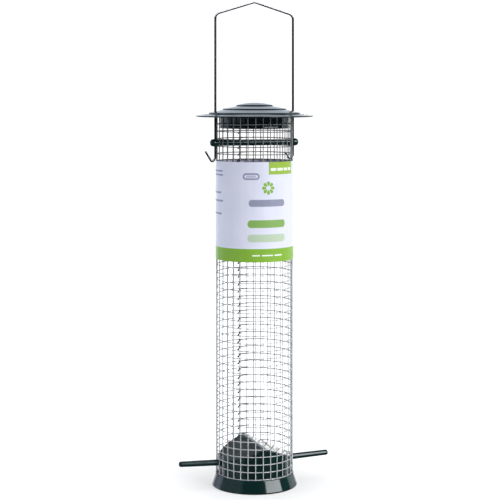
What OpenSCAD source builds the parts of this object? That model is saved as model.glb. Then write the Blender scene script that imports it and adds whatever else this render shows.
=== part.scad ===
// Hanging peanut feeder for garden birds: a welded-mesh tube on a moulded foot, two perches,
// a crossbar that carries the tube on a bent-wire hanger, and a pressed lid that slides up the
// hanger for filling.  Millimetres, +Z up, origin at the centre of the foot's underside.
// The perches, the crossbar and the hanger lie in the XZ plane; the mesh seam is at the back (+Y).

/* [Foot] */
// Radius of the foot's rim
foot_r = 37.6; // [36.8:0.2:40]
// Height of the ledge that the mesh stands on
foot_h = 10.9; // [10.5:0.1:11.1]
// Wall thickness of the moulding
foot_wall = 2; // [1.6:0.2:2.2]
// Height of the roof's ridge
ridge_z = 36.9; // [36:0.1:38]
// Slope of the roof, degrees
roof_slope = 22.5; // [21:0.5:24]

/* [Mesh tube] */
// Diameter of the mesh wire
mesh_wire_d = 0.8; // [0.6:0.1:0.8]
// Vertical distance between two rings of the mesh
ring_pitch = 6.47; // [6.46:0.01:6.48]
// Height of the tops of the upright wires
mesh_top_z = 325.8; // [324:0.1:325.8]

/* [Perches and crossbar] */
// Diameter of the perches at the mesh
perch_d = 5.2; // [4:0.1:5.2]
// Diameter of the perches at their tips
perch_tip_d = 4.7; // [3.5:0.1:5]
// Distance from the axis to a perch's tip
perch_reach = 68.8; // [55:1:90]
// Upward tilt of the perches, degrees
perch_tilt = 2; // [0:0.5:2]
// Diameter of the crossbar
bar_d = 5.5; // [4:0.5:5.5]
// Diameter of the crossbar's knobs
knob_d = 6.6; // [6.2:0.2:7]

/* [Hanger] */
// Diameter of the hanger wire
hanger_d = 2; // [1.6:0.2:2]
// Distance from the axis to each leg of the hanger
leg_x = 35.9; // [35.8:0.1:36]
// Height of the wire's centre at the top of the hanger
hanger_top_z = 422; // [418:0.5:460]

/* [Lid] */
// Radius of the lid's brim
brim_r = 52.1; // [50:0.5:56]
// Thickness of the lid's sheet
lid_sheet = 1; // [0.8:0.1:1]
// Depth of the lid's collar below the brim
collar_drop = 11.3; // [6:0.1:12]

/* [Label] */
// Height of the card sleeve's lower edge
label_low_z = 197.7; // [60:0.1:220]
// Height of the card sleeve's upper edge
label_high_z = 283.4; // [240:0.1:283.4]

/* [Hidden] */
$fn = 48;

GREEN = [0.06, 0.17, 0.15];
LID_GREEN = [0.10, 0.21, 0.20];
ZINC = [0.72, 0.74, 0.74];
STEEL = [0.35, 0.37, 0.40];
CARD = [0.90, 0.91, 0.96];

eps = 0.01;
press = 0.02;          // radial interference of a pushed-in piece

// Mesh: 32 uprights outside 49 rings, so that a cell faces each perch.
uprights = 32;
rings = 49;
wire_r = mesh_wire_d / 2;
wire_sides = 8;        // the fine curved wires have an eight-sided section
upright_r = 33.35;
ring_r = upright_r - 0.75 * mesh_wire_d;        // a quarter of the wire sinks in at each weld
upright_step = 360 / uprights;
seam_angle = 90 + upright_step / 2;
ring_low_z = foot_h + wire_r;
function ring_z(k) = ring_low_z + k * ring_pitch;
mesh_outer_r = upright_r + wire_r;
mesh_inner_r = ring_r - wire_r;
tie_r = 0.35;
tie_wrap_r = wire_r + 0.8 * tie_r;              // a fifth of the tie sinks into the upright
tie_slant = -40;
tie_rise = 1.1;

// Foot
spigot_r = mesh_inner_r - 0.35;
cavity_r = spigot_r - foot_wall;
rim_z = 1.3;
ledge_r = mesh_outer_r + 0.35;
ridge_round = 6;
rib_low_z = foot_h - 4;

// Perches: pushed into blind sockets behind the second row of cells
perch_z = (ring_z(1) + ring_z(2)) / 2;
perch_r = perch_d / 2;
socket_x = 20;
boss_x = 17;

// Crossbar: it rests on ring 44, inside the row of cells above it
bar_z = ring_z(44) + wire_r + bar_d / 2 + eps;
bar_end_x = 39;
bar_neck_r = 1.9;
knob_in_x = mesh_outer_r + 0.3;
knob_out_x = 40.8;
leg_hole_r = hanger_d / 2 + 0.2;

// Hanger
hanger_r = hanger_d / 2;
top_slope = 17;
top_bend_r = 4;
shoulder_bend_r = 5;
hook_angle = 32;       // each arm of the V, from the vertical
hook_bend_r = 2;
tip_bend_r = 1.5;
hook_arm = 2.2;
hook_right_z = ring_z(42) + 5.36;               // the right-hand V passes over ring 42, into the tube
hook_left_z = hook_right_z - 1.6;
hook_left_tip = 9.6;
hook_right_tip = 5.2;
bend_extra = 0.015;    // a bend is this much fuller than the straights that end inside it
bend_overlap = 0.15;

// Lid: four conical bands with a riser between each two
brim_z = 322.9;
band = 12;
band_rise = [1.6, 2.6, 2.2, 2.2];
riser = 0.9;
riser_run = 0.3;
hem_r = 0.8;
lid_hole_r = 1.5;
lid_hole_low = 3;      // the drill's start below the brim
lid_hole_depth = 12;
collar_r = 31;
collar_wall = 1;

// ------------------------------------------------------------------ shared shapes

// Straight wire between two points of the XZ plane, [x, z].
module wire_line(p, q, r) {
    d = q - p;
    translate([p[0], 0, p[1]])
        rotate([0, atan2(d[0], d[1]), 0])
            cylinder(r = r, h = norm(d));
}

// Wire bend in the XZ plane about c, from angle a0 (from +X towards +Z) over sweep degrees.
module wire_bend(c, bend_r, a0, sweep, r) {
    translate([c[0], 0, c[1]])
        rotate([90, 0, 0])
            rotate([0, 0, a0])
                rotate_extrude(angle = sweep)
                    translate([bend_r, 0])
                        circle(r = r);
}

// Pin along +X from the origin: radius r over the root, tapering to a round tip of radius tip_r.
module domed_pin(l, root, r, tip_r) {
    steps = 8;
    rotate([0, 90, 0])
        rotate_extrude()
            polygon(concat(
                [[0, 0], [r, 0], [r, root]],
                [for (i = [0 : steps - 1])
                    [tip_r * cos(90 * i / steps), l - tip_r + tip_r * sin(90 * i / steps)]],
                [[0, l]]));
}

// ------------------------------------------------------------------ base

function roof_z(x, drop) =
    abs(x) >= ridge_round * sin(roof_slope)
    ? ridge_z - drop - (abs(x) - ridge_round * tan(roof_slope / 2)) * tan(roof_slope)
    : ridge_z - drop - ridge_round + sqrt(ridge_round * ridge_round - x * x);

// Everything under the roof's surface, lowered by drop, as a bar along Y.
module under_roof(drop, half) {
    arc = ridge_round * sin(roof_slope);
    steps = 6;
    xs = [for (i = [-steps : steps]) arc * i / steps];
    translate([0, half, 0])
        rotate([90, 0, 0])
            linear_extrude(2 * half)
                polygon(concat(
                    [[-half, 0], [-half, roof_z(half, drop)]],
                    [for (x = xs) [x, roof_z(x, drop)]],
                    [[half, roof_z(half, drop)], [half, 0]]));
}

// Flared skirt with a rounded rim, and the ledge that the mesh stands on.
module skirt() {
    rim_r = 0.9;
    steps = 5;
    rotate_extrude()
        polygon(concat(
            [[0, 0]],
            [for (i = [0 : steps])
                [foot_r - rim_r + rim_r * sin(90 * i / steps), rim_r * (1 - cos(90 * i / steps))]],
            [[foot_r, rim_z], [ledge_r, foot_h], [0, foot_h]]));
}

module spigot() {
    intersection() {
        cylinder(r = spigot_r, h = ridge_z + 1);
        under_roof(0, spigot_r + 1);
    }
}

// Hollow of the moulding, open at the bottom.
module cavity() {
    rotate_extrude()
        polygon([[0, -eps], [foot_r - foot_wall, -eps], [cavity_r, foot_h], [0, foot_h]]);
    intersection() {
        translate([0, 0, foot_h - eps])
            cylinder(r = cavity_r, h = ridge_z);
        under_roof(foot_wall / cos(roof_slope), cavity_r + 1);
    }
}

// Places its child, which runs along +X from the socket's blind end, on a perch's axis.
module on_perch_axis(side, from_x) {
    mirror([side < 0 ? 1 : 0, 0, 0])
        translate([upright_r, 0, perch_z])
            rotate([0, -perch_tilt, 0])
                translate([from_x - upright_r, 0, 0])
                    children();
}

// Socket bosses and a cross of ribs, left standing in the hollow.
module inside_webs() {
    boss_r = perch_r + 1.8;
    web = 1.6;
    for (side = [-1, 1])
        on_perch_axis(side, boss_x)
            rotate([0, 90, 0])
                cylinder(r = boss_r, h = spigot_r - boss_x);
    translate([-foot_r, -web / 2, rib_low_z])
        cube([2 * foot_r, web, ridge_z]);
    translate([-web / 2, -foot_r, rib_low_z])
        cube([web, 2 * foot_r, ridge_z]);
}

module base() {
    color(GREEN)
        difference() {
            union() {
                skirt();
                spigot();
            }
            difference() {
                cavity();
                inside_webs();
            }
            for (side = [-1, 1])
                on_perch_axis(side, socket_x)
                    rotate([0, 90, 0])
                        cylinder(r = perch_r - press, h = foot_r - socket_x);
        }
}

module perch(side) {
    color(GREEN)
        on_perch_axis(side, socket_x)
            domed_pin((perch_reach - socket_x) / cos(perch_tilt), upright_r - socket_x,
                perch_r, perch_tip_d / 2);
}

module perch_left() {
    perch(-1);
}

module perch_right() {
    perch(1);
}

// ------------------------------------------------------------------ mesh tube

module mesh_uprights() {
    color(ZINC)
        for (k = [0 : uprights - 1])
            rotate([0, 0, (k + 0.5) * upright_step])
                translate([upright_r, 0, foot_h])
                    cylinder(r = wire_r, h = mesh_top_z - foot_h);
}

module mesh_rings() {
    color(ZINC)
        for (k = [0 : rings - 1])
            translate([0, 0, ring_z(k)])
                rotate_extrude()
                    translate([ring_r, 0])
                        circle(r = wire_r, $fn = wire_sides);
}

// Each ring's end is wrapped round the seam upright as one slanted turn.
module mesh_seam_ties() {
    color(ZINC)
        for (k = [1 : rings - 2])
            rotate([0, 0, seam_angle])
                translate([upright_r, 0, ring_z(k) + tie_rise])
                    rotate([tie_slant, 0, 0])
                        rotate_extrude()
                            translate([tie_wrap_r, 0])
                                circle(r = tie_r, $fn = wire_sides);
}

// Solid round the mesh out to radius r, with a hump of radius hump_r over the tied seam.
module sleeve_block(r, hump_r, low_z, high_z) {
    translate([0, 0, low_z])
        rotate([0, 0, seam_angle]) {
            cylinder(r = r, h = high_z - low_z);
            translate([upright_r, 0, 0])
                cylinder(r = hump_r, h = high_z - low_z);
        }
}

module label_sleeve() {
    card = 0.42;
    slack = 0.03;
    inner_r = mesh_outer_r - press;
    hump_r = tie_wrap_r + tie_r + slack;
    color(CARD)
        difference() {
            sleeve_block(inner_r + card, hump_r + card, label_low_z, label_high_z);
            sleeve_block(inner_r, hump_r, label_low_z - 1, label_high_z + 1);
        }
}

// ------------------------------------------------------------------ crossbar

module leg_holes() {
    for (side = [-1, 1])
        translate([side * leg_x, 0, bar_z - knob_d])
            cylinder(r = leg_hole_r, h = 2 * knob_d);
}

module crossbar_rod() {
    color(GREEN)
        difference() {
            union() {
                translate([-knob_in_x, 0, bar_z])
                    rotate([0, 90, 0])
                        cylinder(r = bar_d / 2, h = 2 * knob_in_x);
                translate([-bar_end_x, 0, bar_z])
                    rotate([0, 90, 0])
                        cylinder(r = bar_neck_r, h = 2 * bar_end_x);
            }
            leg_holes();
        }
}

module crossbar_knob(side) {
    color(GREEN)
        difference() {
            translate([side * knob_in_x, 0, bar_z])
                mirror([side < 0 ? 1 : 0, 0, 0])
                    domed_pin(knob_out_x - knob_in_x, 1, knob_d / 2, knob_d / 2);
            translate([-bar_end_x, 0, bar_z])
                rotate([0, 90, 0])
                    cylinder(r = bar_neck_r - press, h = 2 * bar_end_x);
            leg_holes();
        }
}

module crossbar_knob_left() {
    crossbar_knob(-1);
}

module crossbar_knob_right() {
    crossbar_knob(1);
}

// ------------------------------------------------------------------ hanger

// Open V at the foot of a leg: x0 is the leg, dir the side that the V opens to.
module hook(x0, dir, start_z, tip_length) {
    a = hook_angle;
    bend1 = [x0 + dir * hook_bend_r, start_z];
    p1 = bend1 + hook_bend_r * [-dir * cos(a), -sin(a)];
    p2 = p1 + hook_arm * [dir * sin(a), -cos(a)];
    bend2 = p2 + tip_bend_r * [dir * cos(a), sin(a)];
    p3 = bend2 + tip_bend_r * [dir * cos(a), -sin(a)];
    down = [dir * sin(a), -cos(a)];
    up = [dir * sin(a), cos(a)];
    fuller = hanger_r + bend_extra;
    wire_bend(bend1, hook_bend_r, dir > 0 ? 180 : 360 - a, a, fuller);
    wire_line(p1 - bend_overlap * down, p2 + bend_overlap * down, hanger_r);
    wire_bend(bend2, tip_bend_r, 180 + a, 180 - 2 * a, fuller);
    wire_line(p3 - bend_overlap * up, p3 + tip_length * up, hanger_r);
}

// Leg, shoulder bend and sloped side of the hanger on the +X side.
module hanger_side(start_z) {
    corner_z = hanger_top_z + top_bend_r * (1 / cos(top_slope) - 1) - leg_x * tan(top_slope);
    turn = 90 - top_slope;
    leg_top = corner_z - shoulder_bend_r * tan(turn / 2);
    bend = [leg_x - shoulder_bend_r, leg_top];
    p1 = bend + shoulder_bend_r * [cos(turn), sin(turn)];
    p2 = [top_bend_r * sin(top_slope), hanger_top_z - top_bend_r * (1 - cos(top_slope))];
    along = [-cos(top_slope), sin(top_slope)];
    wire_line([leg_x, start_z - bend_overlap], [leg_x, leg_top + bend_overlap], hanger_r);
    wire_bend(bend, shoulder_bend_r, 0, turn, hanger_r + bend_extra);
    wire_line(p1 - bend_overlap * along, p2 + bend_overlap * along, hanger_r);
}

module hanger() {
    color(STEEL) {
        hanger_side(hook_right_z);
        mirror([1, 0, 0])
            hanger_side(hook_left_z);
        wire_bend([0, hanger_top_z - top_bend_r], top_bend_r,
            90 - top_slope, 2 * top_slope, hanger_r + bend_extra);
        hook(-leg_x, -1, hook_left_z, hook_left_tip);
        hook(leg_x, -1, hook_right_z, hook_right_tip);
    }
}

// ------------------------------------------------------------------ lid

function band_start(k) = k == 0 ? brim_z : band_start(k - 1) + band_rise[k - 1] + riser;

// Upper surface of the lid from the brim to the centre, as [radius, z].
function lid_top() = concat(
    [for (k = [0 : 2]) each [
        [brim_r - k * band - (k == 0 ? 0 : riser_run), band_start(k)],
        [brim_r - (k + 1) * band + riser_run, band_start(k) + band_rise[k]]]],
    [for (i = [0 : 8])
        let (r = (brim_r - 3 * band - riser_run) * (1 - i / 8))
        [r, band_start(3) + band_rise[3] * (1 - pow(1 - i / 8, 2))]]);

// Height of the lid's underside over its second band.
function lid_under_z(r) =
    band_start(1) - lid_sheet
    + band_rise[1] * (brim_r - band - riser_run - r) / (band - 2 * riser_run);

module lid_cap() {
    top = lid_top();
    n = len(top);
    color(LID_GREEN)
        difference() {
            union() {
                rotate_extrude()
                    polygon(concat(top,
                        [for (i = [n - 1 : -1 : 0]) top[i] - [0, lid_sheet]]));
                translate([0, 0, brim_z - lid_sheet / 2])
                    rotate_extrude()
                        translate([brim_r - hem_r, 0])
                            circle(r = hem_r);
            }
            for (side = [-1, 1])
                translate([side * leg_x, 0, brim_z - lid_hole_low])
                    cylinder(r = lid_hole_r, h = lid_hole_depth);
        }
}

// Rolled collar, bonded to the lid's underside, that plugs the mesh tube.
module lid_collar() {
    color(GREEN)
        rotate_extrude()
            polygon([
                [collar_r - collar_wall, brim_z - collar_drop],
                [collar_r - 0.3, brim_z - collar_drop],
                [collar_r, brim_z - collar_drop + 0.3],
                [collar_r, lid_under_z(collar_r)],
                [collar_r - collar_wall, lid_under_z(collar_r - collar_wall)]
            ]);
}

// ------------------------------------------------------------------ nodes

base();
perch_left();
perch_right();
mesh_uprights();
mesh_rings();
mesh_seam_ties();
label_sleeve();
crossbar_rod();
crossbar_knob_left();
crossbar_knob_right();
lid_cap();
lid_collar();
hanger();
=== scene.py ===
import functools
import math
import random

import bmesh
import bpy
import numpy as np
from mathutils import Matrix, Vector


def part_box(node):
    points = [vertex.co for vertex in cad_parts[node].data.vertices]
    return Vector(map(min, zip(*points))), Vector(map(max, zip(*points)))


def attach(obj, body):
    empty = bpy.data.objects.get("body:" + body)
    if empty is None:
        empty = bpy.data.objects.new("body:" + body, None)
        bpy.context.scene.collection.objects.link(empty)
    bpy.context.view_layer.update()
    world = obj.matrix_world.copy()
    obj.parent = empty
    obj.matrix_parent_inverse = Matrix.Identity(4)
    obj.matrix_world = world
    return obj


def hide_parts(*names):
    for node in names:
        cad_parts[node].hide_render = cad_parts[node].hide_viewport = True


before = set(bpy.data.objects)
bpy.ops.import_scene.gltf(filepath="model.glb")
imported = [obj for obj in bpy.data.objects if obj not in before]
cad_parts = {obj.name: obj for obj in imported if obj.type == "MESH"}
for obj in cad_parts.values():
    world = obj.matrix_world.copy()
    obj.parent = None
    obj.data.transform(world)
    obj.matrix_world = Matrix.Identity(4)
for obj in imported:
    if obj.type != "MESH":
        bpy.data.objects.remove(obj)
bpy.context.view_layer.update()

# Hanging peanut feeder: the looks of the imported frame. Shapes are worked out in millimetres, in the frame's
# axes, from the frame's own nodes; a mesh is scaled to metres when its object is made.
MM = 0.001
random.seed(11)

# The camera stands level, a little above the lid, with a raised lens.
CAMERA_AZIMUTH = math.radians(-18.5)
CAMERA_DISTANCE = 1270.0
CAMERA_HEIGHT = 345.1
CAMERA_YAW = math.radians(0.178)
CAMERA_LENS = 104.2
CAMERA_SHIFT = -0.32
CAMERA_SIDE = (math.sin(CAMERA_AZIMUTH), -math.cos(CAMERA_AZIMUTH), 0.0)
CAMERA_PLACE = Vector((math.sin(CAMERA_AZIMUTH) * CAMERA_DISTANCE,
                       -math.cos(CAMERA_AZIMUTH) * CAMERA_DISTANCE, CAMERA_HEIGHT)) * MM
BACKDROP = 1.12                     # the backdrop is overexposed
BACKLIGHT = 0.42                    # and more so behind the mesh, so that its thin wires look lighter

ARC_STEP = math.radians(10)         # largest turn between two points of a rounded corner
SHARP_ANGLE = math.radians(34)      # edges that turn more than this stay sharp


# ---- reading the frame

def points(node):
    """Corner points of a CAD node's mesh, in millimetres."""
    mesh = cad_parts[node].data
    co = np.empty(len(mesh.vertices) * 3, np.float32)
    mesh.vertices.foreach_get("co", co)
    return co.reshape(-1, 3).astype(float) / MM


def radii(node):
    """Distance of each corner point of a node from the feeder's axis."""
    p = points(node)
    return np.hypot(p[:, 0], p[:, 1])


def angles(node):
    """Angle of each corner point of a node round the feeder's axis."""
    p = points(node)
    return np.arctan2(p[:, 1], p[:, 0])


def groups(values, gap):
    """Sorted numbers, split wherever they jump by more than gap, as (lowest, highest) pairs."""
    values = np.sort(values)
    parts = np.split(values, np.nonzero(np.diff(values) > gap)[0] + 1)
    return [(part[0], part[-1]) for part in parts]


def middles(pairs):
    return [(low + high) / 2 for low, high in pairs]


def box(node):
    """Lowest and highest corner of a node, in millimetres."""
    low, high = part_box(node)
    return np.array(low) / MM, np.array(high) / MM


ring_spans = groups(points("mesh_rings")[:, 2], 1.0)
ring_heights = middles(ring_spans)
wire_r = (ring_spans[0][1] - ring_spans[0][0]) / 2
ring_r = (radii("mesh_rings").min() + radii("mesh_rings").max()) / 2
upright_angles = middles(groups(angles("mesh_uprights"), math.radians(3)))
cell_angle = 2 * math.pi / len(upright_angles)
upright_r = (radii("mesh_uprights").min() + radii("mesh_uprights").max()) / 2
upright_low, upright_high = box("mesh_uprights")[0][2], box("mesh_uprights")[1][2]
seam_angle = float(np.mean(angles("mesh_seam_ties")))
tie_heights = middles(groups(points("mesh_seam_ties")[:, 2], 1.0))
tie_outer_r = radii("mesh_seam_ties").max()
card_low, card_high = box("label_sleeve")[0][2], box("label_sleeve")[1][2]
hanger_high = box("hanger")[1]
hanger_r = hanger_high[1]
leg_x = hanger_high[0] - hanger_r
bar_z = float(np.mean([box("crossbar_rod")[0][2], box("crossbar_rod")[1][2]]))


# ---- outlines and meshes

def rounded(corners, closed=False):
    """Outline through corners, each (x, y) or (x, y, radius), with an arc in place of each corner."""
    outline = []
    count = len(corners)
    for i, corner in enumerate(corners):
        here = np.array(corner[:2], float)
        radius = corner[2] if len(corner) > 2 else 0.0
        if radius == 0 or (not closed and i in (0, count - 1)):
            outline.append(here)
            continue
        to_last = np.array(corners[i - 1][:2], float) - here
        to_next = np.array(corners[(i + 1) % count][:2], float) - here
        to_last /= np.linalg.norm(to_last)
        to_next /= np.linalg.norm(to_next)
        half = math.acos(max(-1.0, min(1.0, float(to_last @ to_next)))) / 2
        if math.pi / 2 - half < 1e-4:
            outline.append(here)
            continue
        towards = (to_last + to_next) / np.linalg.norm(to_last + to_next)
        centre = here + towards * radius / math.sin(half)
        start = here + to_last * radius / math.tan(half) - centre
        turn = math.pi - 2 * half
        if to_last[0] * to_next[1] - to_last[1] * to_next[0] > 0:
            turn = -turn
        steps = max(2, math.ceil(abs(turn) / ARC_STEP))
        for k in range(steps + 1):
            c, s = math.cos(turn * k / steps), math.sin(turn * k / steps)
            outline.append(centre + np.array([c * start[0] - s * start[1], s * start[0] + c * start[1]]))
    return np.array(outline)


def add_face(faces, *corners):
    """Adds a face without its repeated corners, if three or more are left."""
    face = list(dict.fromkeys(corners))
    if len(face) > 2:
        faces.append(face)


def skin(rows, count, closed=False):
    """Faces between each two neighbouring rows of points; a row is a closed loop of count points."""
    faces = []
    for i in range(rows if closed else rows - 1):
        a, b = i * count, (i + 1) % rows * count
        for k in range(count):
            n = (k + 1) % count
            faces.append([a + k, a + n, b + n, b + k])
    return faces


def lathe(profile, segments):
    """(points, faces) of a closed profile of (radius, height) turned round Z. Radius 0 is a single point."""
    verts, rows = [], []
    turn = np.arange(segments) * 2 * math.pi / segments
    for r, z in profile:
        if r < 1e-6:
            rows.append([len(verts)] * segments)
            verts.append((0.0, 0.0, z))
        else:
            rows.append(list(range(len(verts), len(verts) + segments)))
            verts.extend(zip(r * np.cos(turn), r * np.sin(turn), np.full(segments, z)))
    faces = []
    for j in range(len(rows)):
        a, b = rows[j], rows[(j + 1) % len(rows)]
        for k in range(segments):
            n = (k + 1) % segments
            add_face(faces, a[k], a[n], b[n], b[k])
    return np.array(verts, float), faces


def plain_rod(radius, low, high, segments):
    return lathe([(0, low), (radius, low), (radius, high), (0, high)], segments)


def sweep(path, radius, sides, closed=False):
    """(points, faces) of a round wire along a path; radius is one number, or one for each point."""
    path = np.asarray(path, float)
    count = len(path)
    radius = np.broadcast_to(radius, count)
    if closed:
        along = np.roll(path, -1, 0) - np.roll(path, 1, 0)
    else:
        along = np.gradient(path, axis=0)
    along /= np.linalg.norm(along, axis=1)[:, None]
    side = np.cross(along[0], [0.0, 0.0, 1.0] if abs(along[0][2]) < 0.9 else [1.0, 0.0, 0.0])
    turn = np.arange(sides) * 2 * math.pi / sides
    verts = []
    for i in range(count):
        side = side - along[i] * (side @ along[i])
        side /= np.linalg.norm(side)
        other = np.cross(along[i], side)
        circle = np.outer(np.cos(turn), side) + np.outer(np.sin(turn), other)
        verts.append(path[i] + radius[i] * circle)
    faces = skin(count, sides, closed)
    if not closed:
        faces.append(list(range(sides))[::-1])
        faces.append(list(range((count - 1) * sides, count * sides)))
    return np.vstack(verts), faces


def with_round_ends(path, radius, share=0.8, steps=4):
    """The path of a wire and its radii, with both ends rounded off over share of its radius."""
    path = np.asarray(path, float)
    radius = np.broadcast_to(radius, len(path)).astype(float)
    t = np.linspace(0, math.pi / 2, steps + 1)[:-1]
    first = path[0] - path[1]
    last = path[-1] - path[-2]
    first /= np.linalg.norm(first)
    last /= np.linalg.norm(last)
    depth = share * radius[0]
    head = [path[0] + first * depth * (math.cos(a) - 1) for a in t]
    tail = [path[-1] + last * depth * (math.cos(a) - 1) for a in t[::-1]]
    ends = radius[0] * np.maximum(np.sin(t), 0.12)
    return np.vstack([head, path[1:-1], tail]), np.concatenate([ends, radius[1:-1], ends[::-1]])


def joined(parts):
    """Several (points, faces) as one."""
    verts, faces, base = [], [], 0
    for v, f in parts:
        verts.append(v)
        faces.extend([[i + base for i in face] for face in f])
        base += len(v)
    return np.vstack(verts), faces


def prism(outline, low, high, axis):
    """(points, faces) of an outline in the plane across axis (0 or 1) and Z, carried from low to high."""
    verts = []
    for t in (low, high):
        for u, z in outline:
            verts.append((t, u, z) if axis == 0 else (u, t, z))
    n = len(outline)
    faces = [list(range(n)), list(range(n, 2 * n))[::-1]]
    for k in range(n):
        faces.append([k, n + k, n + (k + 1) % n, (k + 1) % n])
    return np.array(verts, float), faces


def along_axis(shape, start, end):
    """A shape that was turned round Z, laid with its foot at start and its length towards end."""
    verts, faces = shape
    direction = Vector(end) - Vector(start)
    turn = np.array(direction.to_track_quat("Z", "Y").to_matrix())
    return verts @ turn.T + np.array(start, float), faces


def new_object(name, data):
    obj = bpy.data.objects.new(name, data)
    bpy.context.scene.collection.objects.link(obj)
    return obj


def smooth(mesh):
    mesh.shade_smooth()
    mesh.set_sharp_from_angle(angle=SHARP_ANGLE)


def make(name, shape):
    """Object from (points in millimetres, faces), smooth, with its faces turned outwards."""
    verts, faces = shape
    mesh = bpy.data.meshes.new(name)
    mesh.from_pydata((np.asarray(verts) * MM).tolist(), [], [list(map(int, f)) for f in faces])
    mesh.update()
    work = bmesh.new()
    work.from_mesh(mesh)
    bmesh.ops.recalc_face_normals(work, faces=work.faces)
    work.to_mesh(mesh)
    work.free()
    smooth(mesh)
    return new_object(name, mesh)


def cut(obj, operation, *tools):
    """Adds tools to obj (UNION) or cuts them out of it (DIFFERENCE), each a (points, faces) shape."""
    for k, tool in enumerate(tools):
        helper = make(f"{obj.name}_tool_{k}", tool)
        modifier = obj.modifiers.new("cut", "BOOLEAN")
        modifier.operation = operation
        modifier.solver = "EXACT"
        modifier.object = helper
        bpy.context.view_layer.update()
        whole = obj.evaluated_get(bpy.context.evaluated_depsgraph_get())
        mesh = bpy.data.meshes.new_from_object(whole)
        obj.modifiers.clear()
        obj.data = mesh
        bpy.data.objects.remove(helper)
    smooth(obj.data)
    return obj


def dress(obj, body, material, node):
    """Gives a finished piece its body and its material, in its one slot, and hides the CAD node that it
    stands for.
    """
    obj.data.materials.clear()
    obj.data.materials.append(material)
    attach(obj, body)
    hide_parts(node)


# ---- shader nodes

class Nodes:
    """A node tree, with short names for the nodes that the finishes use. Sizes are in millimetres."""

    def __init__(self, tree):
        self.tree = tree
        self.place = self.add("TexCoord").outputs["Object"]

    def add(self, kind, **settings):
        """New shader node of a kind, named without Blender's prefix."""
        node = self.tree.nodes.new("ShaderNode" + kind)
        for key, value in settings.items():
            setattr(node, key, value)
        return node

    def put(self, value, socket):
        if isinstance(value, bpy.types.NodeSocket):
            self.tree.links.new(value, socket)
        else:
            socket.default_value = value

    def math(self, operation, *values):
        node = self.add("Math", operation=operation)
        for value, socket in zip(values, node.inputs):
            self.put(value, socket)
        return node.outputs[0]

    def total(self, *values):
        return functools.reduce(functools.partial(self.math, "ADD"), values)

    def product(self, *values):
        return functools.reduce(functools.partial(self.math, "MULTIPLY"), values)

    def split(self, vector):
        node = self.add("SeparateXYZ")
        self.put(vector, node.inputs[0])
        return node.outputs[0], node.outputs[1], node.outputs[2]

    def length(self, a, b):
        return self.math("SQRT", self.total(self.product(a, a), self.product(b, b)))

    def noise(self, size, detail=2.0, squeeze=(1.0, 1.0, 1.0)):
        """Random value about 0.5 in patches of about size, longer along an axis with a small squeeze."""
        squeezed = self.add("Mapping")
        self.put(self.place, squeezed.inputs["Vector"])
        squeezed.inputs["Scale"].default_value = squeeze
        node = self.add("TexNoise")
        self.put(squeezed.outputs[0], node.inputs["Vector"])
        node.inputs["Scale"].default_value = 1 / (size * MM)
        node.inputs["Detail"].default_value = detail
        return node.outputs[0]

    def crystals(self, size):
        """Flat random value for each cell of a pattern of crystals of about that size."""
        node = self.add("TexVoronoi")
        self.put(self.place, node.inputs["Vector"])
        node.inputs["Scale"].default_value = 1 / (size * MM)
        return self.split(node.outputs["Color"])[0]

    def ramp(self, value, low, high, start=0.0, end=1.0):
        """Goes smoothly from start to end as value goes from low to high."""
        node = self.add("MapRange", interpolation_type="SMOOTHSTEP")
        for number, socket in zip((value, low, high, start, end), node.inputs):
            self.put(number, socket)
        return node.outputs[0]

    def window(self, value, low, high, soft):
        """1 between low and high, 0 outside, with soft edges."""
        rise = self.ramp(value, low - soft, low + soft)
        fall = self.ramp(value, high - soft, high + soft, 1.0, 0.0)
        return self.product(rise, fall)

    def blend(self, factor, a, b):
        """Colour a at factor 0 and b at factor 1."""
        node = self.add("Mix", data_type="RGBA")
        self.put(factor, node.inputs[0])
        for colour, socket in ((a, node.inputs[6]), (b, node.inputs[7])):
            self.put((*colour, 1.0) if isinstance(colour, tuple) else colour, socket)
        return node.outputs[2]

    def bump(self, height, depth, under=None):
        """Normal of a relief: height 0 to 1 stands for depth millimetres."""
        node = self.add("Bump")
        node.inputs["Distance"].default_value = depth * MM
        self.put(height, node.inputs["Height"])
        if under is not None:
            self.put(under, node.inputs["Normal"])
        return node.outputs[0]

    def camera_sees(self, seen, usual):
        """Shader that is seen to the camera itself, and usual to all other rays."""
        both = self.add("MixShader")
        self.put(self.add("LightPath").outputs["Is Camera Ray"], both.inputs[0])
        self.put(usual, both.inputs[1])
        self.put(seen, both.inputs[2])
        return both.outputs[0]


def new_material(name, **inputs):
    """Principled material, its Nodes and its inputs; the values given here are plain numbers."""
    material = bpy.data.materials.new(name)
    material.use_nodes = True
    nodes = Nodes(material.node_tree)
    surface = material.node_tree.nodes["Principled BSDF"]
    for key, value in inputs.items():
        surface.inputs[key.replace("_", " ")].default_value = value
    return material, nodes, surface.inputs


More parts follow.
